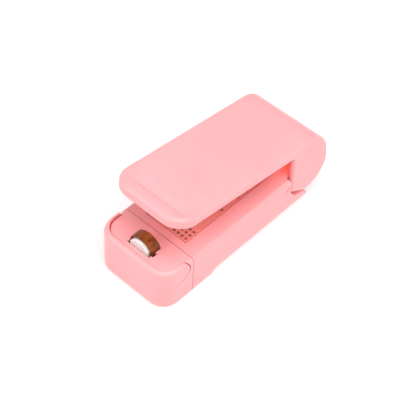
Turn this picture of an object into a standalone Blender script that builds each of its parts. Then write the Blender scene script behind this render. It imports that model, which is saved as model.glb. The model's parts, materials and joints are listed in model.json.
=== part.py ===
"""Handheld bag heat sealer: a battery body with a sprung heater in its head, and a press lever above.

Metres, +Z up. Y runs from the head (-Y) to the hinge (+Y), X is the width, and the body stands on Z = 0.
The lever is drawn open, as its spring holds it. The last step moves the whole sealer by ORIGIN_OFFSET
along Y, so that the origin lies under the middle of its length.
"""

import math

import bmesh
import bpy
from mathutils import Matrix, Vector

# Driving dimensions
HALF_WIDTH = 0.0190
BODY_TOP = 0.0202
FRONT_Y = -0.0489
SEAM_Y = -0.0326
REAR_Y = 0.0490
ORIGIN_OFFSET = -0.0010
GAP = 0.0003
WALL = 0.0016
TOP_EDGE_RADIUS = 0.0018
HEAD_CORNER_RADIUS = 0.0079

# Hinge and lever. The lever is drawn in its own frame: U runs along it from the pin, W stands off it.
PIN_Y = 0.0395
PIN_Z = 0.0174
PIN_RADIUS = 0.0015
LEVER_OPEN = math.radians(7.2)
LEVER_TRAVEL = math.radians(10.4)
NOSE_U = -0.0840
NOSE_TAPER = 0.0004
NOSE_RADIUS = 0.0095
LEVER_TOP_W = 0.0184
RIM_W = 0.0132
LEVER_WALL = 0.0020
LEVER_EDGE_RADIUS = 0.0016
HOOD_RADIUS = 0.0160
HOOD_CENTRE = (-0.00576, LEVER_TOP_W - HOOD_RADIUS)
HOOD_END = 20
EAR_RADIUS = 0.0114
EAR_WALL = 0.0018
EAR_LEAN = math.radians(9.3)
EAR_CORNER = (-0.0076, -0.0052)
EAR_CORNER_RADIUS = 0.0036
EAR_REACH = 0.0120
EAR_SWING = 0.0132
EAR_INNER_X = 0.0168
KNUCKLE_X = 0.0163
KNUCKLE_RADIUS = 0.0081

# Guard
GUARD_Y = -0.0390
GUARD_Z = 0.0176
GUARD_LOW_Z = 0.0113
GUARD_TOP = 0.0208
ARM_END_Z = 0.0168
ARM_END_RADIUS = GUARD_TOP - ARM_END_Z

# Deck plate in the body's top, with vents
DECK_HALF = 0.0106
DECK_FRONT = -0.0286
DECK_GAP = 0.0004
DECK_REAR = 0.0241
DECK_FLOOR = 0.0190
VENT_RADIUS = 0.0007
VENT_COLUMNS = (0.0028, 0.0049, 0.0070, 0.0091)
VENT_ROWS = ((-0.0268, 4), (-0.0245, 3), (-0.0222, 4))
SINGLE_VENTS = (-0.0057, 0.0039, 0.0088)

# Heater
HEATER_Y = -0.0409
HEATER_HALF_DEPTH = 0.0032
HEATER_HALF_WIDTH = 0.0054
HEATER_TOP = 0.0249
HEATER_SPRING_X = 0.0065
CORE_INSET = 0.0007
CORE_TOP = HEATER_TOP - 0.0009
FLANGE_TOP = 0.0183
FLANGE_BOTTOM = 0.0171

# Cells, AA size
CELL_RADIUS = 0.00725
CELL_LENGTH = 0.0505
CELL_X = 0.0074
CELL_Z = 0.0094

PINK = (0.93, 0.42, 0.43)
CORAL = (0.90, 0.33, 0.32)
SIDES = ((-1, "left"), (1, "right"))
LEAD_X = 0.0090
LEAD_Z = 0.0120
LEAD_HOLE_RADIUS = 0.0010
SCREW_X = 0.0123
SCREW_Y = -0.0368
GUARD_PIN_HOLE = 0.0011
GUARD_PIN_OUTER_X = 0.0185
DOOR_FRONT = -0.0262


# ---------------------------------------------------------------- scene helpers


def clear_scene():
    for obj in list(bpy.data.objects):
        bpy.data.objects.remove(obj, do_unlink=True)


def new_collection(name):
    collection = bpy.data.collections.new(name)
    bpy.context.scene.collection.children.link(collection)
    return collection


def new_material(name, colour, roughness, metallic=0.0):
    material = bpy.data.materials.new(name)
    material.use_nodes = True
    shader = material.node_tree.nodes["Principled BSDF"]
    shader.inputs["Base Color"].default_value = (*colour, 1.0)
    shader.inputs["Roughness"].default_value = roughness
    shader.inputs["Metallic"].default_value = metallic
    return material


def new_empty(name, location, rotation=(0.0, 0.0, 0.0)):
    empty = bpy.data.objects.new(name, None)
    empty.location = location
    empty.rotation_euler = rotation
    empty.empty_display_size = 0.005
    PARTS.objects.link(empty)
    return empty


def mesh_object(name, mesh):
    obj = bpy.data.objects.new(name, mesh)
    CUTTERS.objects.link(obj)
    obj.display_type = "WIRE"
    obj.hide_render = True
    return obj


def from_bmesh(name, bm):
    mesh = bpy.data.meshes.new(name)
    bmesh.ops.recalc_face_normals(bm, faces=bm.faces)
    bm.to_mesh(mesh)
    bm.free()
    return mesh_object(name, mesh)


def hold(obj, empty):
    """Parents a piece drawn in world space to an empty, and leaves it where it is."""
    bpy.context.view_layer.update()
    obj.parent = empty
    obj.matrix_parent_inverse = empty.matrix_world.inverted()


def make_part(obj, material, smooth_angle=0.6):
    """Turns a drawn shape into a visible sub-part."""
    CUTTERS.objects.unlink(obj)
    PARTS.objects.link(obj)
    obj.display_type = "TEXTURED"
    obj.hide_render = False
    obj.data.materials.clear()
    obj.data.materials.append(material)
    obj.data.shade_smooth()
    obj.data.set_sharp_from_angle(angle=smooth_angle)
    return obj


def boolean(obj, other, operation="DIFFERENCE"):
    modifier = obj.modifiers.new(other.name, "BOOLEAN")
    modifier.operation = operation
    modifier.solver = "EXACT"
    modifier.object = other
    return obj


def cut(obj, *cutters):
    for cutter in cutters:
        boolean(obj, cutter)
    return obj


def join(obj, *others):
    for other in others:
        boolean(obj, other, "UNION")
    return obj


# ---------------------------------------------------------------- shape helpers


def arc(centre, radius, start, end, steps):
    """Points of an arc, with its angles in degrees."""
    points = []
    for step in range(steps + 1):
        angle = math.radians(start + (end - start) * step / steps)
        points.append((centre[0] + radius * math.cos(angle), centre[1] + radius * math.sin(angle)))
    return points


def rounded_outline(half, low, high, low_radius, high_radius, steps=7):
    """A rectangle symmetric about the first axis, with one radius at each end."""
    points = arc((-half + low_radius, low + low_radius), low_radius, 180, 270, steps)
    points += arc((half - low_radius, low + low_radius), low_radius, 270, 360, steps)
    points += arc((half - high_radius, high - high_radius), high_radius, 0, 90, steps)
    points += arc((-half + high_radius, high - high_radius), high_radius, 90, 180, steps)
    return points


def outline_of_arms(half, front, radius, rear):
    """Plan of the head: rounded corners at the front, square at the rear."""
    points = arc((-half + radius, front + radius), radius, 180, 270, 8)
    points += arc((half - radius, front + radius), radius, 270, 360, 8)
    return points + [(half, rear), (-half, rear)]


PRISM_TURNS = {
    "X": Matrix(((0, 0, 1), (1, 0, 0), (0, 1, 0))),
    "Y": Matrix(((1, 0, 0), (0, 0, -1), (0, 1, 0))),
    "Z": Matrix.Identity(3),
}


def prism(name, outline, low, high, axis="Z"):
    """Extrudes an outline along an axis. X takes (y, z) points, Y takes (x, z) and Z takes (x, y)."""
    curve = bpy.data.curves.new(name, "CURVE")
    curve.dimensions = "2D"
    curve.fill_mode = "BOTH"
    curve.extrude = (high - low) / 2
    spline = curve.splines.new("POLY")
    spline.points.add(len(outline) - 1)
    for point, (first, second) in zip(spline.points, outline):
        point.co = (first, second, 0.0, 1.0)
    spline.use_cyclic_u = True
    guide = bpy.data.objects.new(name, curve)
    middle = (low + high) / 2
    turn = PRISM_TURNS[axis].to_4x4()
    offset = {"X": (middle, 0, 0), "Y": (0, middle, 0), "Z": (0, 0, middle)}[axis]
    guide.matrix_world = Matrix.Translation(offset) @ turn
    return mesh_of_curve(guide)


def mesh_of_curve(guide):
    """Makes a curve a closed mesh in world space, and removes the curve."""
    name = guide.name
    CUTTERS.objects.link(guide)
    bpy.context.view_layer.update()
    evaluated = guide.evaluated_get(bpy.context.evaluated_depsgraph_get())
    mesh = bpy.data.meshes.new_from_object(evaluated)
    mesh.transform(guide.matrix_world)
    bpy.data.objects.remove(guide, do_unlink=True)
    bm = bmesh.new()
    bm.from_mesh(mesh)
    bmesh.ops.remove_doubles(bm, verts=bm.verts, dist=1e-6)
    bmesh.ops.dissolve_limit(bm, angle_limit=0.01, verts=bm.verts, edges=bm.edges)
    return from_bmesh(name, bm)


def box(name, low, high):
    bm = bmesh.new()
    bmesh.ops.create_cube(bm, size=1.0)
    low = Vector(low)
    high = Vector(high)
    size = high - low
    bmesh.ops.scale(bm, vec=size, verts=bm.verts)
    bmesh.ops.translate(bm, vec=low + size / 2, verts=bm.verts)
    return from_bmesh(name, bm)


def rod(name, start, end, radius, sides=20):
    """A cylinder between two points."""
    start = Vector(start)
    run = Vector(end) - start
    bm = bmesh.new()
    bmesh.ops.create_cone(
        bm, cap_ends=True, segments=sides, radius1=radius, radius2=radius, depth=run.length
    )
    turn = run.to_track_quat("Z", "Y").to_matrix().to_4x4()
    bmesh.ops.transform(bm, matrix=Matrix.Translation(start + run / 2) @ turn, verts=bm.verts)
    return from_bmesh(name, bm)


def soften(obj, chosen, radius, segments, along=None):
    """Rounds the sharp edges whose ends both pass the test, and that lie along an axis if given."""
    bm = bmesh.new()
    bm.from_mesh(obj.data)
    edges = []
    for edge in bm.edges:
        run = edge.verts[1].co - edge.verts[0].co
        skew = along is not None and abs(run.dot(Vector(along))) < 0.99 * run.length
        if edge.calc_face_angle(0.0) > 0.6 and all(chosen(vert.co) for vert in edge.verts) and not skew:
            edges.append(edge)
    bmesh.ops.bevel(
        bm, geom=edges, offset=radius, segments=segments, profile=0.5, affect="EDGES"
    )
    bm.to_mesh(obj.data)
    bm.free()
    return obj


def loft(name, sections):
    """A closed body through sections that have the same number of points."""
    bm = bmesh.new()
    rings = [[bm.verts.new(point) for point in section] for section in sections]
    for ring, following in zip(rings, rings[1:]):
        for index in range(len(ring)):
            after = (index + 1) % len(ring)
            bm.faces.new((ring[index], ring[after], following[after], following[index]))
    bm.faces.new(rings[0])
    bm.faces.new(rings[-1])
    return from_bmesh(name, bm)


def turned(name, profile, base, axis, steps=28):
    """Turns a profile of (radius, height) points, listed top to bottom, about an axis from base."""
    bm = bmesh.new()
    verts = [bm.verts.new((radius, 0.0, height)) for radius, height in profile]
    for first, second in zip(verts, verts[1:]):
        bm.edges.new((first, second))
    mesh = bpy.data.meshes.new(name)
    bm.to_mesh(mesh)
    bm.free()
    obj = mesh_object(name, mesh)
    screw = obj.modifiers.new("turn", "SCREW")
    screw.steps = steps
    screw.render_steps = steps
    screw.use_merge_vertices = True
    screw.merge_threshold = 0.00001
    turn = Vector(axis).to_track_quat("Z", "Y").to_matrix().to_4x4()
    obj.matrix_world = Matrix.Translation(base) @ turn
    return obj


def wire(name, points, radius):
    """A round wire through points, with filled ends."""
    curve = bpy.data.curves.new(name, "CURVE")
    curve.dimensions = "3D"
    curve.bevel_depth = radius
    curve.bevel_resolution = 2
    curve.use_fill_caps = True
    spline = curve.splines.new("POLY")
    spline.points.add(len(points) - 1)
    for point, place in zip(spline.points, points):
        point.co = (*place, 1.0)
    return mesh_of_curve(bpy.data.objects.new(name, curve))


def coil(centre, axis, start_radius, end_radius, length, turns, per_turn=9):
    """Points of a helix that starts at centre and climbs along an axis."""
    frame = Vector(axis).to_track_quat("Z", "Y").to_matrix()
    points = []
    count = round(turns * per_turn)
    for step in range(count + 1):
        share = step / count
        angle = 2 * math.pi * turns * share
        radius = start_radius + (end_radius - start_radius) * share
        local = Vector((radius * math.cos(angle), radius * math.sin(angle), length * share))
        points.append(Vector(centre) + frame @ local)
    return points


# ---------------------------------------------------------------- body


def body_section(y, low_radius):
    outline = rounded_outline(HALF_WIDTH, 0.0, BODY_TOP, low_radius, TOP_EDGE_RADIUS, 5)
    return [(x, y, z) for x, z in outline]


def body_side_profile():
    """Side view of the body, generous in front and above, and true around the rear."""
    points = [(-0.060, -0.002), (0.0312, -0.002)]
    points += arc((0.0312, 0.0120), 0.0120, -90, -12, 8)
    points += arc((PIN_Y, PIN_Z), KNUCKLE_RADIUS, -48, 28, 8)
    return points + [(0.0440, 0.024), (-0.060, 0.024)]


def ear_recess(name, side):
    """Room beside a knuckle for a lever ear in every pose, with a rounded lip in front."""
    reach = EAR_REACH + 0.0004
    opened = EAR_LEAN - LEVER_OPEN
    closed = opened + LEVER_TRAVEL
    lip_radius = 0.0012
    lip_z = BODY_TOP - lip_radius
    lip_y = PIN_Y - (reach + (lip_z - PIN_Z) * math.sin(closed)) / math.cos(closed)
    middle = (opened + closed) / 2
    knee = reach / math.cos(closed - middle)
    start = math.degrees(opened) + math.degrees(math.acos(reach / EAR_SWING))
    points = [(lip_y - lip_radius, 0.0240)]
    points += arc((lip_y - lip_radius, lip_z), lip_radius, 90, 0, 4)
    points += [(PIN_Y - knee * math.cos(middle), PIN_Z - knee * math.sin(middle))]
    points += arc((PIN_Y, PIN_Z), EAR_SWING, 180 + start, 228, 4)
    floor = PIN_Z - EAR_RADIUS - 0.0004
    points += [(PIN_Y - 0.0025, floor), (PIN_Y + 0.0055, floor - 0.0072), (0.0520, 0.0240)]
    return prism(name, points, *sorted((side * KNUCKLE_X, side * 0.0210)), axis="X")


def nail_notch(name, side):
    """Shallow wedge in the body's side, with a ledge at its foot that climbs to the ear's recess."""
    sections = []
    for y, foot in ((0.0232, 0.0137), (0.0280, 0.0154)):
        points = ((0.0184, foot), (0.0194, foot), (0.0194, foot + 0.0030))
        sections.append([(side * x, y, z) for x, z in points])
    return loft(name, sections)


def door_blank(name, clearance, front, rear):
    """The battery door's cover, with a rail on each side above the body's lips."""
    half = 0.0146 + clearance
    cover = box(name, (-half, front, 0.0002 - clearance * 10), (half, rear, 0.0012))
    half = 0.0156 + clearance
    low = (-half, front, 0.0008 - clearance)
    join(cover, box(f"{name}_rails", low, (half, rear, 0.0016 + clearance)))
    return cover


def vents(name, radius, low, high):
    """Upright rods where the vents are, the same on both sides of the middle."""
    places = [(x, y) for y, count in VENT_ROWS for x in VENT_COLUMNS[-count:]]
    places += [(VENT_COLUMNS[-1], y) for y in SINGLE_VENTS]
    bm = bmesh.new()
    for x, y in places:
        for side, _ in SIDES:
            middle = Matrix.Translation((side * x, y, (low + high) / 2))
            bmesh.ops.create_cone(
                bm,
                cap_ends=True,
                segments=12,
                radius1=radius,
                radius2=radius,
                depth=high - low,
                matrix=middle,
            )
    return from_bmesh(name, bm)


def lead_hole(name, side, front, rear):
    """Where a lead passes through a wall."""
    return rod(name, (side * LEAD_X, front, LEAD_Z), (side * LEAD_X, rear, LEAD_Z), LEAD_HOLE_RADIUS, 12)


def body_shell():
    small = 0.0015
    large = 0.0039
    front = SEAM_Y + GAP / 2
    shell = loft(
        "body_shell",
        [
            body_section(front, small),
            body_section(-0.0212, small),
            body_section(-0.0182, large),
            body_section(REAR_Y, large),
        ],
    )
    boolean(shell, prism("shell_profile", body_side_profile(), -0.025, 0.025, "X"), "INTERSECT")
    inside = rounded_outline(0.0156, WALL, 0.0180, 0.0006, 0.0020, 3)
    cavity = prism("shell_cavity", inside, -0.0309, 0.0274, "Y")
    door_way = door_blank("shell_door_way", GAP, DOOR_FRONT - GAP, 0.060)
    half = DECK_HALF + DECK_GAP
    low = (-half, DECK_FRONT - DECK_GAP, DECK_FLOOR)
    recess = box("shell_deck_recess", low, (half, DECK_REAR + DECK_GAP, 0.0230))
    cut(shell, cavity, door_way, recess, vents("shell_vents", VENT_RADIUS, 0.0170, 0.0195))
    for side, name in SIDES:
        cut(shell, ear_recess(f"shell_ear_recess_{name}", side))
        cut(shell, lead_hole(f"shell_lead_hole_{name}", side, -0.0340, -0.0300))
        cut(shell, nail_notch(f"shell_nail_notch_{name}", side))
        low, high = sorted((side * 0.0165, side * 0.0200))
        cut(shell, box(f"shell_finger_notch_{name}", (low, 0.0050, -0.001), (high, 0.0066, 0.0030)))
    spring_slot = box("shell_spring_slot", (-0.0070, 0.0304, 0.0136), (0.0070, 0.0520, 0.0230))
    bore = rod("shell_pin_bore", (-0.020, PIN_Y, PIN_Z), (0.020, PIN_Y, PIN_Z), PIN_RADIUS + GAP)
    cut(shell, spring_slot, bore)
    return make_part(shell, SHELL_PINK)


def deck_plate():
    """Recessed plate with rows of small round vents."""
    low = DECK_FLOOR + GAP
    plate = box("deck_plate", (-DECK_HALF, DECK_FRONT, low), (DECK_HALF, DECK_REAR, low + 0.0005))
    cut(plate, vents("deck_vents", VENT_RADIUS, 0.0185, 0.0205))
    return make_part(plate, DECK_CORAL)


def battery_door():
    door = door_blank("battery_door", 0.0, DOOR_FRONT, 0.0460)
    boolean(door, prism("door_profile", body_side_profile(), -0.025, 0.025, "X"), "INTERSECT")
    for index in range(4):
        y = 0.0180 + index * 0.0016
        cut(door, box(f"door_grip_{index}", (-0.0070, y, -0.001), (0.0070, y + 0.0007, 0.0006)))
    return hold_part(make_part(door, SHELL_PINK), DOOR_AXIS)


def hold_part(obj, empty):
    hold(obj, empty)
    return obj


def tray_section(half, low, shoulder, top_half, top):
    """Upright sides with chamfered shoulders."""
    left = [(-top_half, top), (-half, shoulder)]
    return [(-half, low), (half, low), (half, shoulder), (top_half, top)] + left


def battery_tray():
    """Open-bottomed bay round the two cells."""
    outer = tray_section(0.0153, 0.0022, 0.0140, 0.0123, 0.0176)
    inner = tray_section(0.0149, -0.0010, 0.0136, 0.0119, 0.0169)
    tray = prism("battery_tray", outer, -0.0306, 0.0271, "Y")
    cut(tray, prism("tray_bay", inner, -0.0297, 0.0262, "Y"))
    for side, name in SIDES:
        cut(tray, lead_hole(f"tray_lead_hole_{name}", side, -0.0320, -0.0290))
    return make_part(tray, TRAY_BLACK)


def battery(name, side, front_y, nub_forward):
    """An AA cell lying along Y."""
    nub = 0.0010
    flat = CELL_LENGTH - nub
    profile = [
        (0.0, CELL_LENGTH),
        (0.0026, CELL_LENGTH),
        (0.00275, flat + 0.0008),
        (0.00275, flat),
        (CELL_RADIUS - 0.0003, flat),
        (CELL_RADIUS, flat - 0.0004),
        (CELL_RADIUS, 0.0004),
        (CELL_RADIUS - 0.0003, 0.0),
        (0.0, 0.0),
    ]
    base_y = front_y + CELL_LENGTH if nub_forward else front_y
    direction = (0, -1, 0) if nub_forward else (0, 1, 0)
    cell = turned(name, profile, (side * CELL_X, base_y, CELL_Z), direction)
    return make_part(cell, CELL_JACKET)


def contact_spring(name, side, start_y, direction):
    """Conical spring on the flat end of a cell."""
    points = coil((side * CELL_X, start_y, CELL_Z), (0, direction, 0), 0.0042, 0.0026, 0.0025, 3)
    return make_part(wire(name, points, 0.0003), SPRING_STEEL)


def contact_plate(name, low_x, high_x, low_y):
    plate = box(name, (low_x, low_y, 0.0045), (high_x, low_y + 0.0004, 0.0148))
    return make_part(plate, NICKEL)


def contacts():
    """Front: a plate for each cell. Rear: one plate that links the two cells."""
    contact_spring("contact_spring_front", 1, -0.0284, 1)
    contact_spring("contact_spring_rear", -1, 0.0252, -1)
    contact_plate("contact_plate_left", -0.0120, -0.0028, -0.0294)
    contact_plate("contact_plate_right", 0.0028, 0.0120, -0.0294)
    contact_plate("contact_plate_link", -0.0120, 0.0120, 0.0255)


def hinge_pin():
    end = 0.0178
    pin = rod("hinge_pin", (-end, PIN_Y, PIN_Z), (end, PIN_Y, PIN_Z), PIN_RADIUS)
    soften(pin, lambda co: abs(co.x) > end - 0.0001, 0.0003, 1)
    return make_part(pin, SPRING_STEEL)


def lever_spring():
    """Torsion spring round the pin, with one leg on the body and one under the lever."""
    radius = 0.0026
    half_length = 0.0046
    steps = 40
    points = []
    for step in range(steps + 1):
        angle = math.radians(-90 + step * 39)
        x = half_length * (2 * step / steps - 1)
        points.append((x, PIN_Y + radius * math.cos(angle), PIN_Z + radius * math.sin(angle)))
    body_leg = [(-half_length, 0.0320, PIN_Z - radius), (-half_length, 0.0360, PIN_Z - radius)]
    lever_leg = [(half_length, 0.0330, 0.0337)]
    return make_part(wire("lever_spring", body_leg + points + lever_leg, 0.00045), SPRING_STEEL)


# ---------------------------------------------------------------- head


def head_envelope(name, top):
    """The outer shape of the head and of the guard, longer than the head at the rear."""
    plan = outline_of_arms(HALF_WIDTH, FRONT_Y, HEAD_CORNER_RADIUS, -0.0280)
    block = prism(name, plan, 0.0, top)
    soften(block, lambda co: co.z > top - 0.0001, TOP_EDGE_RADIUS, 5)
    soften(block, lambda co: co.z < 0.0001, 0.0015, 3)
    return block


def guard_side_profile(extra):
    """Side view of the guard: a band with round arm ends. With extra, it is the room it needs."""
    low = GUARD_LOW_Z - extra
    radius = ARM_END_RADIUS + extra * 2.3
    points = [(-0.060, low), (-0.0460, low)]
    points += arc((GUARD_Y, ARM_END_Z), radius, -98, 90 if extra == 0 else 60, 12)
    return points + [(points[-1][0], 0.0240), (-0.060, 0.0240)]


def head_core(name, clearance, low, high):
    """The part of the head inside the guard."""
    plan = outline_of_arms(0.0173 + clearance, -0.04635 - clearance, 0.0064 + clearance, -0.0200)
    return prism(name, plan, low, high)


def upright(name, side, y, low, high, radius, sides):
    """An upright rod on the line of a head screw."""
    return rod(name, (side * SCREW_X, y, low), (side * SCREW_X, y, high), radius, sides)


def guard_pin_hole(name, side, inner_x):
    """Where a guard pin passes through a wall."""
    start = (side * inner_x, GUARD_Y, GUARD_Z)
    return rod(name, start, (side * GUARD_PIN_OUTER_X, GUARD_Y, GUARD_Z), GUARD_PIN_HOLE, 12)


def head_block():
    head = head_envelope("head_block", BODY_TOP)
    rear = SEAM_Y - GAP / 2
    boolean(head, box("head_limit", (-0.03, -0.06, -0.01), (0.03, rear, 0.03)), "INTERSECT")
    core = head_core("head_core", 0.0, -0.001, BODY_TOP + 0.00006)
    soften(core, lambda co: co.z > BODY_TOP, 0.0008, 3)
    pocket = prism("guard_room", guard_side_profile(GAP), -0.025, 0.025, "X")
    cut(pocket, core)
    cavity = prism("head_cavity", outline_of_arms(0.0157, -0.04485, 0.0049, -0.0343), -0.001, 0.0186)
    way = box("heater_way", (-0.0059, -0.0444, 0.0150), (0.0059, -0.0374, 0.0230))
    cut(head, pocket, cavity, way)
    for side, name in SIDES:
        join(head, upright(f"head_boss_{name}", side, SCREW_Y, 0.0022, 0.0195, 0.0022, 16))
    for side, name in SIDES:
        cut(head, upright(f"head_screw_hole_{name}", side, SCREW_Y, 0.0, 0.0070, 0.0010, 12))
        cut(head, guard_pin_hole(f"head_pin_hole_{name}", side, 0.0150))
        cut(head, lead_hole(f"head_lead_hole_{name}", side, -0.0355, -0.0315))
    return make_part(head, SHELL_PINK)


def head_floor():
    """Plate that closes the head below, with a post under each heater spring."""
    floor = prism("head_floor", outline_of_arms(0.0154, -0.04455, 0.0046, -0.0346), 0.0005, 0.0019)
    for side, name in SIDES:
        x = side * HEATER_SPRING_X
        join(floor, rod(f"floor_post_{name}", (x, HEATER_Y, 0.0012), (x, HEATER_Y, 0.0090), 0.0023, 16))
        cut(floor, upright(f"floor_hole_{name}", side, SCREW_Y, -0.001, 0.0030, 0.0011, 12))
        cut(floor, upright(f"floor_counterbore_{name}", side, SCREW_Y, -0.001, 0.0012, 0.0021, 16))
    return make_part(floor, TRAY_WHITE)


def screw(name, head_height, base, head_radius, length, shank_radius=0.0007):
    """A pan-head screw that points up, with its head on base."""
    base = Vector(base)
    up = Vector((0, 0, 1))
    head = rod(name, base, base + up * head_height, head_radius, 14)
    shank = rod(f"{name}_shank", base + up * head_height * 0.5, base + up * length, shank_radius, 10)
    low = base + Vector((-head_radius * 0.6, -0.0002, -0.0004))
    high = base + Vector((head_radius * 0.6, 0.0002, head_height * 0.5))
    join(head, shank)
    cut(head, box(f"{name}_slot", low, high))
    return head


def head_screws():
    for side, name in SIDES:
        piece = screw(f"head_screw_{name}", 0.0006, (side * SCREW_X, SCREW_Y, 0.0003), 0.0017, 0.0055)
        make_part(piece, SPRING_STEEL)


def guard_pins():
    for side, name in SIDES:
        low = (side * 0.0154, GUARD_Y, GUARD_Z)
        high = (side * 0.0182, GUARD_Y, GUARD_Z)
        make_part(rod(f"guard_pin_{name}", low, high, 0.0008, 14), SPRING_STEEL)


def safety_guard():
    guard = head_envelope("safety_guard", GUARD_TOP)
    boolean(guard, prism("guard_profile", guard_side_profile(0.0), -0.025, 0.025, "X"), "INTERSECT")
    cut(guard, head_core("guard_inside", GAP, -0.001, 0.030))
    for side, name in SIDES:
        cut(guard, guard_pin_hole(f"guard_pin_hole_{name}", side, 0.0165))
    return hold_part(make_part(guard, SHELL_PINK), GUARD_AXIS)


# ---------------------------------------------------------------- heater


def heater_arch(half, crest, low):
    """Section of the heater across X: straight sides and an arched top."""
    rise = 0.0026
    radius = (half * half + rise * rise) / (2 * rise)
    reach = math.degrees(math.asin(half / radius))
    return [(-half, low), (half, low)] + arc((0.0, crest - radius), radius, 90 - reach, 90 + reach, 8)


def heater_holder():
    """White block: arched head, a flange that its springs push up under the head's top, and a stem."""
    low_y = HEATER_Y - HEATER_HALF_DEPTH
    high_y = HEATER_Y + HEATER_HALF_DEPTH
    section = heater_arch(HEATER_HALF_WIDTH - CORE_INSET, CORE_TOP, 0.0175)
    holder = prism("heater_holder", section, low_y, high_y, "Y")
    flange = box("holder_flange", (-0.0088, -0.0445, FLANGE_BOTTOM), (0.0088, -0.0366, FLANGE_TOP))
    stem = box("holder_stem", (-0.0025, HEATER_Y - 0.0016, 0.0135), (0.0025, HEATER_Y + 0.0016, 0.0175))
    join(holder, flange, stem)
    return hold_part(make_part(holder, CERAMIC), HEATER_AXIS)


def over_heater(name, inside, outside, low_y, high_y, material):
    """A band over the arched block, between two offsets from it."""
    half = HEATER_HALF_WIDTH - CORE_INSET
    outer = heater_arch(half + outside, CORE_TOP + outside, FLANGE_TOP + GAP)
    inner = heater_arch(half + inside, CORE_TOP + inside, 0.0100)
    band = prism(name, outer, low_y, high_y, "Y")
    cut(band, prism(f"{name}_inside", inner, low_y - 0.001, high_y + 0.001, "Y"))
    return hold_part(make_part(band, material), HEATER_AXIS)


def heating_strip():
    return over_heater("heating_strip", 0.0001, 0.0003, HEATER_Y - 0.0010, HEATER_Y + 0.0010, NICKEL)


def ptfe_cover():
    return over_heater("ptfe_cover", 0.0005, 0.0008, HEATER_Y - 0.0025, HEATER_Y + 0.0030, PTFE_BROWN)


def heater_springs():
    for side, name in SIDES:
        start = (side * HEATER_SPRING_X, HEATER_Y, 0.0096)
        points = coil(start, (0, 0, 1), 0.0014, 0.0014, 0.0069, 5, 8)
        make_part(wire(f"heater_spring_{name}", points, 0.00025), SPRING_STEEL)


def moving_contact():
    low = (-0.0038, HEATER_Y - 0.0020, 0.0128)
    plate = box("moving_contact", low, (0.0038, HEATER_Y + 0.0020, 0.0132))
    return hold_part(make_part(plate, BRASS), HEATER_AXIS)


def fixed_contact():
    """Bent brass leaf: a foot on the head floor, an upright and a contact arm."""
    front = HEATER_Y - 0.0018
    rear = HEATER_Y + 0.0024
    leaf = box("fixed_contact", (-0.0030, front, 0.0110), (0.0030, rear, 0.0114))
    upright = box("contact_upright", (-0.0030, rear - 0.0004, 0.0022), (0.0030, rear, 0.0112))
    foot = box("contact_foot", (-0.0030, rear - 0.0002, 0.0022), (0.0030, rear + 0.0030, 0.0026))
    join(leaf, upright, foot)
    return make_part(leaf, BRASS)


def lead(name, side, points, material):
    """An insulated wire that runs forward through the holes, then through its own points."""
    x = side * LEAD_X
    start = [(x, -0.0297, LEAD_Z), (x, -0.0330, LEAD_Z), (x, -0.0352, 0.0119)]
    return make_part(wire(name, start + points, 0.00055), material)


def leads():
    positive = [(0.0085, -0.0364, 0.0105), (0.0070, -0.0370, 0.0075)]
    positive += [(0.0052, -0.0368, 0.0045), (0.0037, -0.0364, 0.0036)]
    negative = [(-0.0089, -0.0366, 0.0121), (-0.0088, -0.0378, 0.0127)]
    negative += [(-0.0088, -0.0386, 0.0136), (-0.0088, -0.0388, 0.0148)]
    lead("positive_lead", 1, positive, WIRE_RED)
    lead("negative_lead", -1, negative, WIRE_BLACK)


# ---------------------------------------------------------------- lever


def ear_tangent_angle():
    """Direction, in degrees, in which the line under the ear touches its circle and its front corner."""
    offset = Vector(EAR_CORNER)
    spread = math.acos((EAR_RADIUS - EAR_CORNER_RADIUS) / offset.length)
    return 180 + math.degrees(math.atan2(-offset.y, -offset.x) + spread)


def lever_side_profile():
    """Side view of the lever: flat top, wide round hood, and the ear round the pin."""
    lean = math.degrees(EAR_LEAN)
    low_tangent = ear_tangent_angle() - 360
    points = arc(HOOD_CENTRE, HOOD_RADIUS, 90, HOOD_END, 10)
    points += arc((0.0, 0.0), EAR_RADIUS, HOOD_END, low_tangent, 14)
    points += arc(EAR_CORNER, EAR_CORNER_RADIUS, low_tangent, lean - 180, 5)
    fillet = 0.0010
    rise = RIM_W - fillet - points[-1][1]
    corner = (points[-1][0] - rise * math.tan(EAR_LEAN), RIM_W - fillet)
    points += [corner, (corner[0] - fillet, RIM_W)]
    return points + [(NOSE_U, RIM_W), (NOSE_U, LEVER_TOP_W)]


def lever_hollow():
    """Space under the lever's top, forward of the ears."""
    plan = outline_of_arms(HALF_WIDTH - LEVER_WALL, NOSE_U + LEVER_WALL, 0.0075, -0.0185)
    return prism("lever_hollow", plan, 0.0110, LEVER_TOP_W - WALL)


def hood_hollow():
    """Space between the ears, under the rounded rear."""
    points = arc(HOOD_CENTRE, HOOD_RADIUS - EAR_WALL, 83, HOOD_END, 8)
    points += arc((0.0, 0.0), EAR_RADIUS - EAR_WALL, HOOD_END, 0, 2)
    points += [(EAR_RADIUS - EAR_WALL, -0.0150), (-0.0320, -0.0150), (-0.0320, 0.0100)]
    points += [(-0.0190, LEVER_TOP_W - WALL)]
    return prism("hood_hollow", points, -EAR_INNER_X, EAR_INNER_X, "X")


def taper_nose(shell):
    """Narrows the lever a little from its ears to its nose."""
    for vert in shell.data.vertices:
        share = min(1.0, max(0.0, vert.co.y / NOSE_U))
        vert.co.x *= 1.0 - share * NOSE_TAPER / HALF_WIDTH
    return shell


SCREW_PLACES = ((-0.0125, -0.0715), (0.0125, -0.0715), (-0.0125, -0.0280), (0.0125, -0.0280))


def on_lever_edge(co):
    """Whether a corner of the unrounded lever is on its top, its hood or the rear of an ear."""
    return co.z > LEVER_TOP_W - 0.0001 or (co.y > 0.0010 and co.z > 0.0020 - EAR_RADIUS)


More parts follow.
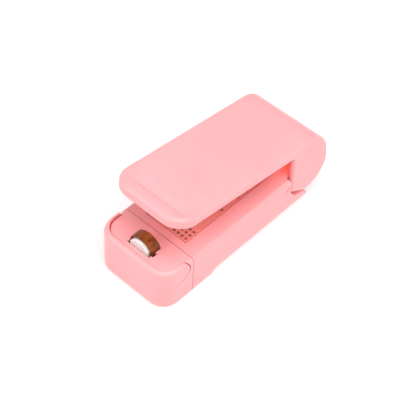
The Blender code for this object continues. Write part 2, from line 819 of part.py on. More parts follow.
def lever_shell():
    shell = prism("lever_shell", lever_side_profile(), -HALF_WIDTH, HALF_WIDTH, "X")
    nose = NOSE_U + 0.0001
    soften(shell, lambda co: co.y < nose, NOSE_RADIUS, 8, along=(0, 0, 1))
    soften(shell, on_lever_edge, LEVER_EDGE_RADIUS, 4)
    taper_nose(shell)
    tail = box("lever_tail", (-EAR_INNER_X, 0.0010, -0.0200), (EAR_INNER_X, 0.0200, -0.0045))
    cut(shell, lever_hollow(), hood_hollow(), tail)
    for index, (x, u) in enumerate(SCREW_PLACES):
        join(shell, rod(f"lever_boss_{index}", (x, u, 0.0159), (x, u, 0.0175), 0.0020, 12))
        cut(shell, rod(f"lever_boss_hole_{index}", (x, u, 0.0150), (x, u, 0.0177), 0.0010, 10))
    bore = rod("lever_bore", (-0.0181, 0, 0), (0.0181, 0, 0), PIN_RADIUS + GAP)
    cut(shell, bore)
    return lever_part(shell, SHELL_PINK)


def lever_part(obj, material):
    """A piece drawn in the lever's own frame, with its cutters."""
    for modifier in obj.modifiers:
        if modifier.type == "BOOLEAN":
            modifier.object.parent = LEVER_AXIS
    obj.parent = LEVER_AXIS
    return make_part(obj, material)


def lever_liner():
    """Cover under the lever, held by four screws."""
    inset = LEVER_WALL + GAP
    plan = outline_of_arms(HALF_WIDTH - inset, NOSE_U + inset, 0.0072, -0.0190)
    liner = prism("lever_liner", plan, 0.0145, 0.0156)
    for index, (x, u) in enumerate(SCREW_PLACES):
        cut(liner, rod(f"liner_hole_{index}", (x, u, 0.0140), (x, u, 0.0160), 0.0010, 10))
        cut(liner, rod(f"liner_counterbore_{index}", (x, u, 0.0140), (x, u, 0.0151), 0.0019, 14))
    return lever_part(liner, SHELL_PINK)


def liner_screws():
    for index, (x, u) in enumerate(SCREW_PLACES):
        piece = screw(f"liner_screw_{index + 1}", 0.0005, (x, u, 0.0143), 0.0015, 0.0031)
        lever_part(piece, SPRING_STEEL)


def pad_holder():
    """Bar under the nose with a pocket for the pad."""
    holder = box("pad_holder", (-0.0095, -0.0817, 0.0131), (0.0095, -0.0767, 0.0142))
    cut(holder, box("pad_pocket", (-0.0078, -0.0813, 0.0110), (0.0078, -0.0771, 0.0137)))
    return lever_part(holder, TRAY_WHITE)


def silicone_pad():
    pad = box("silicone_pad", (-0.0075, -0.0810, 0.0124), (0.0075, -0.0774, 0.0134))
    return lever_part(pad, SILICONE)


# ---------------------------------------------------------------- assembly


def centre_on_origin():
    for obj in bpy.data.objects:
        if obj.parent is None:
            obj.location.y += ORIGIN_OFFSET


clear_scene()
PARTS = new_collection("handheld_bag_heat_sealer")
CUTTERS = new_collection("cutters")

SHELL_PINK = new_material("pink_abs", PINK, 0.38)
DECK_CORAL = new_material("coral_plate", CORAL, 0.45)
TRAY_WHITE = new_material("white_abs", (0.85, 0.84, 0.82), 0.5)
TRAY_BLACK = new_material("black_abs", (0.05, 0.05, 0.05), 0.5)
CERAMIC = new_material("white_ceramic", (0.86, 0.85, 0.83), 0.45)
PTFE_BROWN = new_material("brown_ptfe", (0.36, 0.13, 0.04), 0.4)
SILICONE = new_material("red_silicone", (0.62, 0.12, 0.10), 0.7)
NICKEL = new_material("nickel_strip", (0.66, 0.65, 0.62), 0.3, 1.0)
SPRING_STEEL = new_material("spring_steel", (0.58, 0.58, 0.60), 0.28, 1.0)
BRASS = new_material("brass_contact", (0.80, 0.60, 0.28), 0.3, 1.0)
CELL_JACKET = new_material("cell_jacket", (0.06, 0.22, 0.30), 0.35)
WIRE_RED = new_material("red_wire", (0.62, 0.04, 0.03), 0.5)
WIRE_BLACK = new_material("black_wire", (0.03, 0.03, 0.03), 0.5)

LEVER_AXIS = new_empty("lever_axis", (0.0, PIN_Y, PIN_Z), (-LEVER_OPEN, 0.0, 0.0))
GUARD_AXIS = new_empty("guard_axis", (0.0, GUARD_Y, GUARD_Z))
HEATER_AXIS = new_empty("heater_axis", (0.0, HEATER_Y, FLANGE_TOP))
DOOR_AXIS = new_empty("door_axis", (0.0, DOOR_FRONT, 0.0))

body_shell()
deck_plate()
battery_door()
battery_tray()
battery("battery_left", -1, -0.0287, True)
battery("battery_right", 1, -0.0253, False)
contacts()
hinge_pin()
lever_spring()
head_block()
head_floor()
head_screws()
guard_pins()
safety_guard()
heater_holder()
heating_strip()
ptfe_cover()
heater_springs()
moving_contact()
fixed_contact()
leads()
lever_shell()
lever_liner()
liner_screws()
pad_holder()
silicone_pad()
centre_on_origin()
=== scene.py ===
import json
import math

import bmesh
import bpy
from mathutils import Matrix, Vector, noise


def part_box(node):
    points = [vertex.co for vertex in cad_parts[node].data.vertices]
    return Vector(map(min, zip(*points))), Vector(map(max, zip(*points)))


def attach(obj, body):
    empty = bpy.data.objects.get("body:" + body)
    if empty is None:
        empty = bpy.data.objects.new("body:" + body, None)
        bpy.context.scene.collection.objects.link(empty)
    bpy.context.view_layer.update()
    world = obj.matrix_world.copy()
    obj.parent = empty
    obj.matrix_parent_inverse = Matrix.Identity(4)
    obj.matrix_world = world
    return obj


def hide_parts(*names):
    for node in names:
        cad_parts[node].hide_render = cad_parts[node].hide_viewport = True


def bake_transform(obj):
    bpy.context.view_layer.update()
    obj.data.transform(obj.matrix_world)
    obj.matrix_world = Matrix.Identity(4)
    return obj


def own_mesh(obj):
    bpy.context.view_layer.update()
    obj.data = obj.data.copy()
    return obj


# Looks of the handheld bag heat sealer: moulded pink shells, a taped heater, and a plain pale studio.
# Metres, +Z up, with the heater head towards -Y. The lever's pieces are drawn in its own frame, with the pin
# at the origin: U runs along the lever (negative towards its nose) and W stands off the pin.

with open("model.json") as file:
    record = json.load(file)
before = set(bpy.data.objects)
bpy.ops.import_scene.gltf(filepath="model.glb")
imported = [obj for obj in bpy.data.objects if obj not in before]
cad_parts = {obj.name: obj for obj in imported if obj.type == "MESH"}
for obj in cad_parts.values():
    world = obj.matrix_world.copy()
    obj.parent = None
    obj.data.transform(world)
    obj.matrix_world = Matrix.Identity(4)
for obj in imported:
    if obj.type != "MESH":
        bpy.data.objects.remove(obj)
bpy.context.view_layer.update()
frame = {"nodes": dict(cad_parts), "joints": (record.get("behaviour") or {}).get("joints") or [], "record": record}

RECORD = frame["record"]
BODIES = {node: body for body, nodes in RECORD["behaviour"]["bodies"].items() for node in nodes}
SLOTS = {entry["node"]: entry["material_slot"] for entry in RECORD["subparts"]}
JOINTS = {joint["name"]: joint for joint in frame["joints"]}
LEVER_PIN = Vector(JOINTS["lever_hinge"]["pos_m"])
GUARD_PIN = Vector(JOINTS["guard_hinge"]["pos_m"])

HEAD_LOW, HEAD_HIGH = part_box("head_block")
HOLDER_LOW, HOLDER_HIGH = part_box("heater_holder")
TAPE_LOW, TAPE_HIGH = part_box("ptfe_cover")
GUARD_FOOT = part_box("safety_guard")[0].z
HALF = HEAD_HIGH.x
TOP = HEAD_HIGH.z
FRONT = HEAD_LOW.y

# Rounded ends of the guard's arms
ARM_Z = 0.0168
ARM_RADIUS = 0.0040

# Lever, in its own frame
LEVER_OPEN = math.radians(7.2)
NOSE_U = -0.0840
NOSE_RADIUS = 0.0095
NOSE_TAPER = 0.0004
LEVER_W = 0.0184
RIM_W = 0.0132
RIM_FILLET = 0.0016
LEVER_WALL = 0.0020
LEVER_ROUND = 0.0020
ROOF_W = LEVER_W - 0.0016
HOOD_RADIUS = 0.0160
HOOD_CENTRE = (-0.00576, LEVER_W - HOOD_RADIUS)
HOOD_END = 20.0
EAR_RADIUS = 0.0114
EAR_WALL = 0.0018
EAR_LEAN = math.radians(9.3)
EAR_CORNER = (-0.0076, -0.0052)
EAR_CORNER_RADIUS = 0.0036
EAR_INNER_X = 0.0168
PIN_BORE = 0.0018
CROWN = 0.00030

# Shallow trough across the lever's top, where a thumb presses. It falls off faster towards the nose.
TROUGH_U = -0.0774
TROUGH_DEPTH = 0.00075
TROUGH_NOSE_SIDE = 0.0013
TROUGH_REAR_SIDE = 0.0028
TROUGH_MIDDLE_X = 0.0020
TROUGH_FLAT_X = 0.0100
TROUGH_END_X = 0.0138

# Threads of the tape's weave in a metre, as the wave texture counts them
THREADS = 900.0

# Where a painted red glow lies on the body's top by the hinge, with no lamp there, as the ranges over which it
# rises or fades
PAINTED_GLOW_STRENGTH = 0.45
PAINTED_GLOW_X = (0.0150, 0.0172)
PAINTED_GLOW_Y = (0.0135, 0.0300)
PAINTED_GLOW_Z = (0.0198, 0.0201)

# Finish of the meshes
MERGE = 0.000002
FLAT_ANGLE = 0.002
SNAP = 0.00001
EDGE_REACH = 0.0001


# ---------------------------------------------------------------- mesh helpers


def new_piece(name, bm):
    """A mesh object from a bmesh, with its faces turned outward."""
    mesh = bpy.data.meshes.new(name)
    bmesh.ops.recalc_face_normals(bm, faces=bm.faces)
    bm.to_mesh(mesh)
    bm.free()
    obj = bpy.data.objects.new(name, mesh)
    bpy.context.scene.collection.objects.link(obj)
    return obj


def arc(centre, radius, start, end, steps):
    """Points of an arc, with its angles in degrees."""
    points = []
    for step in range(steps + 1):
        angle = math.radians(start + (end - start) * step / steps)
        points.append((centre[0] + radius * math.cos(angle), centre[1] + radius * math.sin(angle)))
    return points


AXES = {
    "X": lambda first, second, along: (along, first, second),
    "Z": lambda first, second, along: (first, second, along),
}


def prism(name, outline, low, high, axis="Z"):
    """Extrudes an outline. Along X it takes (y, z) points, and along Z (x, y)."""
    place = AXES[axis]
    bm = bmesh.new()
    near = [bm.verts.new(place(first, second, low)) for first, second in outline]
    far = [bm.verts.new(place(first, second, high)) for first, second in outline]
    bm.faces.new(near)
    bm.faces.new(far)
    for index in range(len(outline)):
        after = (index + 1) % len(outline)
        bm.faces.new((near[index], near[after], far[after], far[index]))
    return new_piece(name, bm)


def box(name, low, high):
    """A block between two corners."""
    outline = [(low[0], low[1]), (high[0], low[1]), (high[0], high[1]), (low[0], high[1])]
    return prism(name, outline, low[2], high[2])


def rod(name, start, end, radius, sides=24):
    """A round bar between two points."""
    start = Vector(start)
    run = Vector(end) - start
    bm = bmesh.new()
    bmesh.ops.create_cone(
        bm, cap_ends=True, segments=sides, radius1=radius, radius2=radius, depth=run.length
    )
    turn = run.to_track_quat("Z", "Y").to_matrix().to_4x4()
    bmesh.ops.transform(bm, matrix=Matrix.Translation(start + run / 2) @ turn, verts=bm.verts)
    return new_piece(name, bm)


def bake(obj):
    """Applies every modifier to the mesh."""
    bpy.context.view_layer.update()
    graph = bpy.context.evaluated_depsgraph_get()
    mesh = bpy.data.meshes.new_from_object(obj.evaluated_get(graph))
    obj.modifiers.clear()
    obj.data = mesh
    return obj


def cut(obj, *others):
    """Cuts other shapes out of a mesh, one Boolean at a time, and removes them."""
    for other in others:
        modifier = obj.modifiers.new(other.name, "BOOLEAN")
        modifier.operation = "DIFFERENCE"
        modifier.solver = "EXACT"
        modifier.object = other
        bake(obj)
        bpy.data.objects.remove(other, do_unlink=True)
    return obj


def clean(obj):
    """Merges points that a Boolean left together, and dissolves the flat edges it added."""
    bm = bmesh.new()
    bm.from_mesh(obj.data)
    bmesh.ops.remove_doubles(bm, verts=bm.verts, dist=MERGE)
    bmesh.ops.dissolve_limit(bm, angle_limit=FLAT_ANGLE, verts=bm.verts, edges=bm.edges)
    bm.to_mesh(obj.data)
    bm.free()
    return obj


def soften(obj, width, segments=2, angle=0.6):
    """Rounds every edge sharper than the angle by a small radius."""
    clean(obj)
    modifier = obj.modifiers.new("soften", "BEVEL")
    modifier.width = width
    modifier.segments = segments
    modifier.limit_method = "ANGLE"
    modifier.angle_limit = angle
    modifier.use_clamp_overlap = True
    modifier.miter_outer = "MITER_ARC"
    return bake(obj)


def slice_mesh(obj, normal, places):
    """Adds edge loops where planes across one direction cross the mesh."""
    bm = bmesh.new()
    bm.from_mesh(obj.data)
    for place in places:
        geometry = bm.verts[:] + bm.edges[:] + bm.faces[:]
        bmesh.ops.bisect_plane(
            bm, geom=geometry, dist=SNAP, plane_co=Vector(normal) * place, plane_no=normal
        )
    bm.to_mesh(obj.data)
    bm.free()
    return obj


def reshape(obj, move):
    """Moves each point of a mesh by a function of where it is."""
    for vert in obj.data.vertices:
        vert.co = move(vert.co)
    return obj


def smooth(obj, angle=0.55):
    """Smooth shading, broken at real edges, with flat faces kept flat beside their fillets."""
    obj.data.shade_smooth()
    obj.data.set_sharp_from_angle(angle=angle)
    modifier = obj.modifiers.new("normals", "WEIGHTED_NORMAL")
    modifier.keep_sharp = True
    modifier.weight = 90
    return bake(obj)


def dress(obj, material, body, slot, *replaced):
    """Gives a finished piece its material, its body and the CAD nodes that it stands for."""
    obj.data.materials.clear()
    obj.data.materials.append(material)
    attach(obj, body)
    if replaced:
        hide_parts(*replaced)
    return obj


def smoothstep(low, high, value):
    """Rises smoothly from 0 at low to 1 at high, or falls where low is the larger."""
    share = min(1.0, max(0.0, (value - low) / (high - low)))
    return share * share * (3.0 - 2.0 * share)


# ---------------------------------------------------------------- materials
# Noise scales count features in a metre, because the pieces are drawn in metres.


def new_nodes(name):
    """A material with its node tree and its Principled shader."""
    material = bpy.data.materials.new(name)
    material.use_nodes = True
    tree = material.node_tree
    return material, tree, tree.nodes["Principled BSDF"]


def noise_of(tree, scale, detail=3.0, stretch=None):
    """A noise in object space, as it was drawn. Returns its factor."""
    texture = tree.nodes.new("ShaderNodeTexNoise")
    texture.inputs["Scale"].default_value = scale
    texture.inputs["Detail"].default_value = detail
    place = tree.nodes.new("ShaderNodeTexCoord")
    socket = place.outputs["Object"]
    if stretch:
        mapping = tree.nodes.new("ShaderNodeMapping")
        mapping.inputs["Scale"].default_value = stretch
        tree.links.new(socket, mapping.inputs["Vector"])
        socket = mapping.outputs["Vector"]
    tree.links.new(socket, texture.inputs["Vector"])
    return texture.outputs["Fac"]


def ramp_of(tree, factor, stops):
    """A colour ramp. Stops are (position, colour)."""
    ramp = tree.nodes.new("ShaderNodeValToRGB")
    elements = ramp.color_ramp.elements
    while len(elements) < len(stops):
        elements.new(0.5)
    for element, (position, colour) in zip(elements, stops):
        element.position = position
        element.color = (*colour, 1.0)
    tree.links.new(factor, ramp.inputs["Fac"])
    return ramp.outputs["Color"]


def range_of(tree, factor, low, high, source=(0.3, 0.7)):
    """Maps a factor to a range of values."""
    remap = tree.nodes.new("ShaderNodeMapRange")
    remap.inputs["From Min"].default_value = source[0]
    remap.inputs["From Max"].default_value = source[1]
    remap.inputs["To Min"].default_value = low
    remap.inputs["To Max"].default_value = high
    tree.links.new(factor, remap.inputs["Value"])
    return remap.outputs["Result"]


def bump_of(tree, height, strength, distance, under=None):
    """A bump, on top of another one where that is given."""
    bump = tree.nodes.new("ShaderNodeBump")
    bump.inputs["Strength"].default_value = strength
    bump.inputs["Distance"].default_value = distance
    tree.links.new(height, bump.inputs["Height"])
    if under is not None:
        tree.links.new(under, bump.inputs["Normal"])
    return bump.outputs["Normal"]


def shade_of(colour, change):
    """The colour made lighter or darker by a share."""
    return tuple(max(0.0, min(1.0, part * (1.0 + change))) for part in colour)


def moulded_plastic(name, colour, roughness, soft=0.0):
    """Satin injection-moulded plastic: fine spark texture, slow colour drift and faint flow marks."""
    material, tree, shader = new_nodes(name)
    drift = noise_of(tree, 45.0, 2.0)
    stops = ((0.35, shade_of(colour, -0.03)), (0.65, shade_of(colour, 0.02)))
    tree.links.new(ramp_of(tree, drift, stops), shader.inputs["Base Color"])
    wear = noise_of(tree, 380.0, 4.0)
    tree.links.new(range_of(tree, wear, roughness - 0.05, roughness + 0.06), shader.inputs["Roughness"])
    fine = noise_of(tree, 5200.0, 2.0)
    broad = noise_of(tree, 160.0, 2.0)
    waves = bump_of(tree, broad, 0.12, 0.0001)
    tree.links.new(bump_of(tree, fine, 0.10, 0.00003, waves), shader.inputs["Normal"])
    if soft:
        shader.inputs["Subsurface Weight"].default_value = soft
        shader.inputs["Subsurface Radius"].default_value = (1.0, 0.20, 0.16)
        shader.inputs["Subsurface Scale"].default_value = 0.0030
    return material


def product_of(tree, first, second):
    product = tree.nodes.new("ShaderNodeMath")
    product.operation = "MULTIPLY"
    tree.links.new(first, product.inputs[0])
    tree.links.new(second, product.inputs[1])
    return product.outputs["Value"]


def painted_pocket_glow(material):
    """A painted glow with no lamp behind it: red emission placed by position on the body's top between the ears,
    by the hinge, rising towards the rear.
    """
    tree = material.node_tree
    shader = tree.nodes["Principled BSDF"]
    place = tree.nodes.new("ShaderNodeTexCoord")
    parts = tree.nodes.new("ShaderNodeSeparateXYZ")
    tree.links.new(place.outputs["Object"], parts.inputs["Vector"])
    aside = tree.nodes.new("ShaderNodeMath")
    aside.operation = "ABSOLUTE"
    tree.links.new(parts.outputs["X"], aside.inputs[0])
    glow = range_of(tree, parts.outputs["Y"], 0.0, PAINTED_GLOW_STRENGTH, source=PAINTED_GLOW_Y)
    on_top = range_of(tree, parts.outputs["Z"], 0.0, 1.0, source=PAINTED_GLOW_Z)
    between_ears = range_of(tree, aside.outputs["Value"], 1.0, 0.0, source=PAINTED_GLOW_X)
    glow = product_of(tree, product_of(tree, glow, on_top), between_ears)
    tree.links.new(glow, shader.inputs["Emission Strength"])
    shader.inputs["Emission Color"].default_value = (1.0, 0.12, 0.06, 1.0)
    return material


def woven_tape(name, tone=1.0):
    """Brown PTFE-coated glass cloth: a fine square weave under a glossy film, darker where it is baked."""
    material, tree, shader = new_nodes(name)
    coordinates = tree.nodes.new("ShaderNodeTexCoord")
    heights = []
    for direction in ("X", "Y"):
        wave = tree.nodes.new("ShaderNodeTexWave")
        wave.bands_direction = direction
        wave.inputs["Scale"].default_value = THREADS
        wave.inputs["Distortion"].default_value = 0.4
        tree.links.new(coordinates.outputs["Object"], wave.inputs["Vector"])
        heights.append(wave.outputs["Fac"])
    weave = product_of(tree, *heights)
    patches = noise_of(tree, 420.0, 3.0, (1.0, 0.5, 1.0))
    stops = (
        (0.32, (0.150 * tone, 0.034 * tone, 0.008 * tone)),
        (0.50, (0.250 * tone, 0.064 * tone, 0.013 * tone)),
        (0.70, (0.330 * tone, 0.096 * tone, 0.019 * tone)),
    )
    tree.links.new(ramp_of(tree, patches, stops), shader.inputs["Base Color"])
    tree.links.new(range_of(tree, patches, 0.24, 0.46), shader.inputs["Roughness"])
    tree.links.new(bump_of(tree, weave, 0.25, 0.00004), shader.inputs["Normal"])
    shader.inputs["Specular IOR Level"].default_value = 0.25
    return material


def ceramic(name, colour):
    """Off-white fired ceramic: matte, slightly pitted, with faint warm stains."""
    material, tree, shader = new_nodes(name)
    stain = noise_of(tree, 330.0, 4.0)
    stops = ((0.36, shade_of(colour, -0.12)), (0.56, colour))
    tree.links.new(ramp_of(tree, stain, stops), shader.inputs["Base Color"])
    pits = noise_of(tree, 2600.0, 3.0)
    tree.links.new(range_of(tree, pits, 0.42, 0.6), shader.inputs["Roughness"])
    tree.links.new(bump_of(tree, pits, 0.2, 0.00005), shader.inputs["Normal"])
    return material


def metal(name, colour, roughness, stretch=(1.0, 1.0, 1.0)):
    """Drawn or stamped metal: fine streaks, and a little tarnish."""
    material, tree, shader = new_nodes(name)
    shader.inputs["Metallic"].default_value = 1.0
    tarnish = noise_of(tree, 240.0, 4.0)
    stops = ((0.35, shade_of(colour, -0.25)), (0.65, colour))
    tree.links.new(ramp_of(tree, tarnish, stops), shader.inputs["Base Color"])
    streaks = noise_of(tree, 900.0, 3.0, stretch)
    tree.links.new(range_of(tree, streaks, roughness - 0.06, roughness + 0.12), shader.inputs["Roughness"])
    tree.links.new(bump_of(tree, streaks, 0.15, 0.00003), shader.inputs["Normal"])
    return material


def rubber(name, colour, roughness):
    """Matte silicone or PVC: faint dusty bloom over a fine grain."""
    material, tree, shader = new_nodes(name)
    bloom = noise_of(tree, 300.0, 4.0)
    stops = ((0.35, shade_of(colour, -0.15)), (0.7, shade_of(colour, 0.2)))
    tree.links.new(ramp_of(tree, bloom, stops), shader.inputs["Base Color"])
    tree.links.new(range_of(tree, bloom, roughness - 0.05, roughness + 0.1), shader.inputs["Roughness"])
    grain = noise_of(tree, 3800.0, 2.0)
    tree.links.new(bump_of(tree, grain, 0.25, 0.00004), shader.inputs["Normal"])
    return material


def pink_plastic(name):
    return moulded_plastic(name, (0.975, 0.398, 0.412), 0.34, soft=0.30)


# By the record's material slots
MATERIALS = {
    "pink_abs": pink_plastic("pink_shell"),
    # The deck's coral is partly its own tone and partly painted shade: darker and redder than the shell's pink,
    # for the shade the lever casts on it.
    "coral_plate": moulded_plastic("coral_deck_painted_shade", (0.93, 0.29, 0.25), 0.50, soft=0.30),
    "white_abs": moulded_plastic("white_inner", (0.78, 0.76, 0.73), 0.5),
    # The tray's black is partly its own colour and partly painted shade: seen through the deck's vents, it makes
    # the holes dark.
    "black_abs": moulded_plastic("black_tray", (0.012, 0.010, 0.010), 0.65),
    "white_ceramic": ceramic("white_block", (0.86, 0.85, 0.82)),
    "brown_ptfe": woven_tape("brown_tape"),
    "red_silicone": rubber("red_pad", (0.62, 0.12, 0.10), 0.62),
    "nickel_strip": metal("nickel_sheet", (0.70, 0.68, 0.64), 0.30, (1.0, 8.0, 8.0)),
    "spring_steel": metal("steel_wire", (0.62, 0.62, 0.64), 0.26, (6.0, 6.0, 1.0)),
    "brass_contact": metal("brass_sheet", (0.82, 0.61, 0.30), 0.28, (1.0, 8.0, 8.0)),
    "cell_jacket": moulded_plastic("cell_sleeve", (0.06, 0.22, 0.30), 0.34),
    "red_wire": rubber("red_sleeve", (0.62, 0.04, 0.03), 0.5),
    "black_wire": rubber("black_sleeve", (0.03, 0.03, 0.03), 0.5),
}


def dress_cad_nodes():
    """Each CAD node that stays shown gets the material of its own slot."""
    for name, slot in SLOTS.items():
        node = frame["nodes"][name]
        node.data.materials.clear()
        node.data.materials.append(MATERIALS[slot])


# ---------------------------------------------------------------- lever


def to_world(obj):
    """Turns a piece from the lever's frame into the open pose."""
    obj.data.transform(Matrix.Translation(LEVER_PIN) @ Matrix.Rotation(-LEVER_OPEN, 4, "X"))
    return obj


def lever_profile():
    """Side view of the lever: flat top, wide round hood, ear round the pin, and rim."""
    offset = Vector(EAR_CORNER)
    spread = math.acos((EAR_RADIUS - EAR_CORNER_RADIUS) / offset.length)
    low_tangent = math.degrees(math.atan2(-offset.y, -offset.x) + spread) - 180
    lean = math.degrees(EAR_LEAN)
    points = arc(HOOD_CENTRE, HOOD_RADIUS, 90, HOOD_END, 14)
    points += arc((0.0, 0.0), EAR_RADIUS, HOOD_END, low_tangent, 22)[1:]
    points += arc(EAR_CORNER, EAR_CORNER_RADIUS, low_tangent, lean - 180, 7)
    front = points[-1]
    centre_w = RIM_W - RIM_FILLET
    tangent_w = centre_w + RIM_FILLET * math.sin(EAR_LEAN)
    tangent_u = front[0] - (tangent_w - front[1]) * math.tan(EAR_LEAN)
    centre = (tangent_u - RIM_FILLET * math.cos(EAR_LEAN), centre_w)
    points += arc(centre, RIM_FILLET, lean, 90, 7)
    return points + [(NOSE_U, RIM_W), (NOSE_U, LEVER_W)]


def nose_plan(inset, radius, rear):
    """Plan of the lever's front end, inset from its outline."""
    half = HALF - inset
    front = NOSE_U + inset
    points = arc((-half + radius, front + radius), radius, 180, 270, 10)
    points += arc((half - radius, front + radius), radius, 270, 360, 10)
    return points + [(half, rear), (-half, rear)]


def press_shape(co):
    """Crown of the lever's top, its taper, and the shallow trough where a thumb presses."""
    share = smoothstep(RIM_W, LEVER_W - 0.0005, co.z) if co.y < 0.0 else 1.0
    taper = 1.0 - min(1.0, max(0.0, co.y / NOSE_U)) * NOSE_TAPER / HALF
    before_hood = 1.0 - smoothstep(-0.012, 0.004, co.y)
    crown = -CROWN * (co.x / HALF) ** 2 * before_hood
    ends = 1.0 - smoothstep(TROUGH_FLAT_X, TROUGH_END_X, abs(co.x - TROUGH_MIDDLE_X))
    across = (co.y - TROUGH_U) / (TROUGH_NOSE_SIDE if co.y < TROUGH_U else TROUGH_REAR_SIDE)
    trough = -TROUGH_DEPTH * math.exp(-across * across) * ends
    return Vector((co.x * taper, co.y, co.z + share * (crown + trough)))


def round_nose(shell):
    """Rounds the two upright corners of the lever's nose."""
    bm = bmesh.new()
    bm.from_mesh(shell.data)
    corners = [
        edge
        for edge in bm.edges
        if all(vert.co.y < NOSE_U + EDGE_REACH for vert in edge.verts)
        and abs(edge.verts[0].co.x - edge.verts[1].co.x) < EDGE_REACH
    ]
    bmesh.ops.bevel(bm, geom=corners, offset=NOSE_RADIUS, segments=14, profile=0.5, affect="EDGES")
    bm.to_mesh(shell.data)
    bm.free()


def hood_inside():
    """Side view of the space between the ears, under the hood, down past the pin."""
    rear = EAR_RADIUS - EAR_WALL
    floor_w = -0.0150
    front_u = -0.0320
    points = arc(HOOD_CENTRE, HOOD_RADIUS - EAR_WALL, 83, HOOD_END, 10)
    points += arc((0.0, 0.0), rear, HOOD_END, 0, 3)
    return points + [(rear, floor_w), (front_u, floor_w), (front_u, 0.0100), (-0.0190, ROOF_W)]


def lever_cover():
    """The press lever: a hollow shell with a round nose, a hood, and an ear on each side of the pin."""
    shell = prism("lever_cover", lever_profile(), -HALF, HALF, "X")
    round_nose(shell)
    soften(shell, LEVER_ROUND, 5)
    plan = nose_plan(LEVER_WALL, NOSE_RADIUS - LEVER_WALL, -0.0185)
    hollow = prism("hollow", plan, 0.0110, ROOF_W)
    hood = prism("hood", hood_inside(), -EAR_INNER_X, EAR_INNER_X, "X")
    tail = box("tail", (-EAR_INNER_X, 0.0010, -0.0200), (EAR_INNER_X, 0.0200, -0.0045))
    bore = rod("bore", (-0.0181, 0, 0), (0.0181, 0, 0), PIN_BORE)
    cut(shell, hollow, hood, tail, bore)
    clean(shell)
    slice_mesh(shell, (1, 0, 0), [step * 0.0025 for step in range(-7, 8)])
    slice_mesh(shell, (0, 1, 0), [TROUGH_U + step * 0.00030 for step in range(-8, 17)])
    slice_mesh(shell, (0, 1, 0), [-0.0720 + step * 0.0060 for step in range(12)])
    reshape(shell, press_shape)
    smooth(shell)
    to_world(shell)
    return dress(shell, MATERIALS["pink_abs"], "lever", "pink_abs", "lever_shell")


# ---------------------------------------------------------------- body and head


def from_node(name, node):
    """A new piece that starts as a copy of a CAD node's shape."""
    bm = bmesh.new()
    bm.from_mesh(frame["nodes"][node].data)
    bmesh.ops.remove_doubles(bm, verts=bm.verts, dist=MERGE)
    return new_piece(name, bm)


def moulded(node, name, width, segments, shape):
    """A CAD shape with its edges broken by a small radius, as a moulding has, after any other changes."""
    piece = clean(from_node(name, node))
    if shape:
        shape(piece)
    soften(piece, width, segments)
    smooth(piece)
    slot = SLOTS[node]
    return dress(piece, MATERIALS[slot], BODIES[node], slot, node)


def shape_head(head):
    """The corner of the heater's slot that is left open beside the tape."""
    low = (TAPE_HIGH.x - 0.0008, TAPE_LOW.y + 0.0002, TOP - 0.0030)
    high = (TAPE_HIGH.x + 0.0014, TAPE_LOW.y + 0.0026, TOP + 0.01)
    cut(head, box("open_corner", low, high))


def shape_guard(guard):
    """Raises the guard's arms a little, and brings its lower edge down to a fine line from the head."""
    reach = 0.0002
    proud = 0.0004
    rise = (FRONT + 0.0035, FRONT + 0.0085)

    def move(co):
        moved = co.copy()
        if co.y > GUARD_PIN.y - 0.0060 and co.z < ARM_Z:
            away = Vector((0.0, co.y - GUARD_PIN.y, co.z - ARM_Z))
            if away.length > ARM_RADIUS - 0.0003:
                moved += away.normalized() * reach * smoothstep(ARM_Z + 0.001, ARM_Z - 0.002, co.z)
        elif co.z < GUARD_FOOT + 0.0004:
            moved.z -= reach
        moved.z += proud * smoothstep(*rise, co.y) * smoothstep(ARM_Z, TOP - 0.0015, co.z)
        return moved

    slice_mesh(guard, (0, 1, 0), [rise[0] + step * 0.0010 for step in range(6)])
    reshape(guard, move)


def tape_skirt():
    """The tape's ends, folded flat on the block's flange round the foot of the arch."""
    spread = 0.0014
    inset = 0.0002
    low = (TAPE_LOW.x - spread, HOLDER_LOW.y + inset, TAPE_LOW.z - 0.00028)
    high = (TAPE_HIGH.x + spread, HOLDER_HIGH.y - inset, TAPE_LOW.z - 0.00012)
    skirt = box("tape_ends", low, high)
    middle_low = (TAPE_LOW.x + spread, TAPE_LOW.y, 0.0)
    middle_high = (TAPE_HIGH.x - spread, TAPE_HIGH.y, 0.05)
    cut(skirt, box("skirt_middle", middle_low, middle_high))
    soften(skirt, 0.00003, 1)
    smooth(skirt)
    # Its tape is made nearly black, as painted shade for the dark pit of the open corner beside the arch.
    dress(skirt, woven_tape("painted_shade_tape", 0.15), "heater", "brown_ptfe")


def shape_tape(tape):
    """Draws the tape's front edge back from the block's white face, and gives the arch soft folds."""
    middle = (TAPE_LOW.y + TAPE_HIGH.y) / 2
    setback = 0.0004
    fold = 0.00004
    slice_mesh(tape, (0, 1, 0), [TAPE_LOW.y + step * 0.0007 for step in range(1, 8)])

    def move(co):
        crease = noise.noise(Vector((co.x * 500.0, co.y * 260.0, co.z * 500.0)))
        lift = fold * crease * smoothstep(TAPE_LOW.z, TAPE_LOW.z + 0.0010, co.z)
        back = setback * smoothstep(middle, TAPE_LOW.y, co.y)
        return Vector((co.x, co.y + back, co.z + lift))

    reshape(tape, move)


def spring_wire(node):
    """A spring's wire, from its CAD shape."""
    piece = from_node(f"{node}_wire", node)
    smooth(piece, 1.2)
    piece.data.materials.clear()
    piece.data.materials.append(MATERIALS["spring_steel"])
    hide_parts(node)
    return piece


def springs():
    """The springs' wires: the heater's two go with the base, and the lever's is left in the world where it is
    drawn.
    """
    for node in ("heater_spring_left", "heater_spring_right"):
        wire = spring_wire(node)
        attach(wire, "base")
        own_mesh(wire)
    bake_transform(spring_wire("lever_spring"))


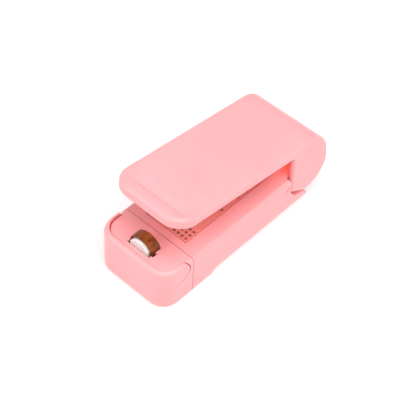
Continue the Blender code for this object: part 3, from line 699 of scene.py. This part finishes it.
# CAD node, the piece that replaces it, radius of its edges, segments of each, and other changes
SHELLS = (
    ("body_shell", "body_case", 0.00030, 3, None),
    ("head_block", "head_case", 0.00030, 3, shape_head),
    ("safety_guard", "guard_band", 0.00035, 3, shape_guard),
    ("deck_plate", "vented_deck", 0.00010, 2, None),
    ("battery_door", "sliding_door", 0.00015, 2, None),
    ("lever_liner", "lever_underside", 0.00020, 2, None),
    ("pad_holder", "pad_bar", 0.00015, 2, None),
    ("silicone_pad", "press_pad", 0.00030, 3, None),
    ("heater_holder", "heater_block", 0.00035, 3, None),
    ("ptfe_cover", "heater_tape", 0.00012, 2, shape_tape),
)


def refined_shells():
    pieces = {node: moulded(node, *how) for node, *how in SHELLS}
    # The body's shell takes a pink with a painted red glow on its top by the hinge.
    pieces["body_shell"].data.materials[0] = painted_pocket_glow(pink_plastic("pink_body_painted_glow"))
    tape_skirt()


# ---------------------------------------------------------------- studio


def camera():
    """The viewpoint: in front, to the right and above, looking at the middle of the sealer."""
    azimuth = math.radians(39.5)
    elevation = math.radians(48.36)
    roll = math.radians(4.42)
    target = Vector((0.0, -0.0103, 0.0220))
    distance = 0.46523
    back = Vector(
        (
            math.sin(azimuth) * math.cos(elevation),
            -math.cos(azimuth) * math.cos(elevation),
            math.sin(elevation),
        )
    )
    data = bpy.data.cameras.new("camera")
    data.sensor_width = 36.0
    data.lens = 103.85
    data.shift_x = 0.0013
    data.shift_y = -0.0028
    data.clip_start = 0.01
    obj = bpy.data.objects.new("camera", data)
    bpy.context.scene.collection.objects.link(obj)
    turn = back.to_track_quat("Z", "Y").to_matrix().to_4x4() @ Matrix.Rotation(roll, 4, "Z")
    obj.matrix_world = Matrix.Translation(target + back * distance) @ turn
    bpy.context.scene.camera = obj


# Name, place, diameter and power
LIGHTS = (
    ("key", (0.22, -0.10, 0.66), 0.60, 4.4),
    ("left_box", (-0.34, -0.56, 0.42), 0.34, 1.5),
    ("right_box", (0.60, 0.40, 0.34), 0.30, 0.5),
)
WHITE = (1.0, 1.0, 1.0, 1.0)


def area_light(name, place, size, power):
    """A round soft box that faces the sealer."""
    data = bpy.data.lights.new(name, "AREA")
    data.shape = "DISK"
    data.size = size
    data.energy = power
    obj = bpy.data.objects.new(name, data)
    obj.location = place
    aim = Vector(place) - Vector((0.0, 0.0, 0.02))
    obj.rotation_euler = aim.to_track_quat("Z", "Y").to_euler()
    bpy.context.scene.collection.objects.link(obj)


def pale_floor():
    """Just under the sealer, bright enough to pass into the background."""
    half = 2.0
    floor = prism("floor", [(-half, -half), (half, -half), (half, half), (-half, half)], -0.02, -0.0001)
    material, tree, shader = new_nodes("floor")
    speck = noise_of(tree, 12.0, 2.0)
    stops = ((0.3, (0.55, 0.55, 0.55)), (0.7, (0.57, 0.57, 0.57)))
    tree.links.new(ramp_of(tree, speck, stops), shader.inputs["Base Color"])
    shader.inputs["Roughness"].default_value = 0.9
    shader.inputs["Emission Color"].default_value = WHITE
    shader.inputs["Emission Strength"].default_value = 0.42
    floor.data.materials.append(material)


def studio():
    """Pale floor and soft light from all round."""
    pale_floor()
    world = bpy.data.worlds.new("studio")
    bpy.context.scene.world = world
    world.use_nodes = True
    background = world.node_tree.nodes["Background"]
    background.inputs["Color"].default_value = WHITE
    background.inputs["Strength"].default_value = 0.47
    for light in LIGHTS:
        area_light(*light)
    bpy.context.scene.view_settings.view_transform = "Standard"


dress_cad_nodes()
refined_shells()
lever_cover()
springs()
camera()
studio()
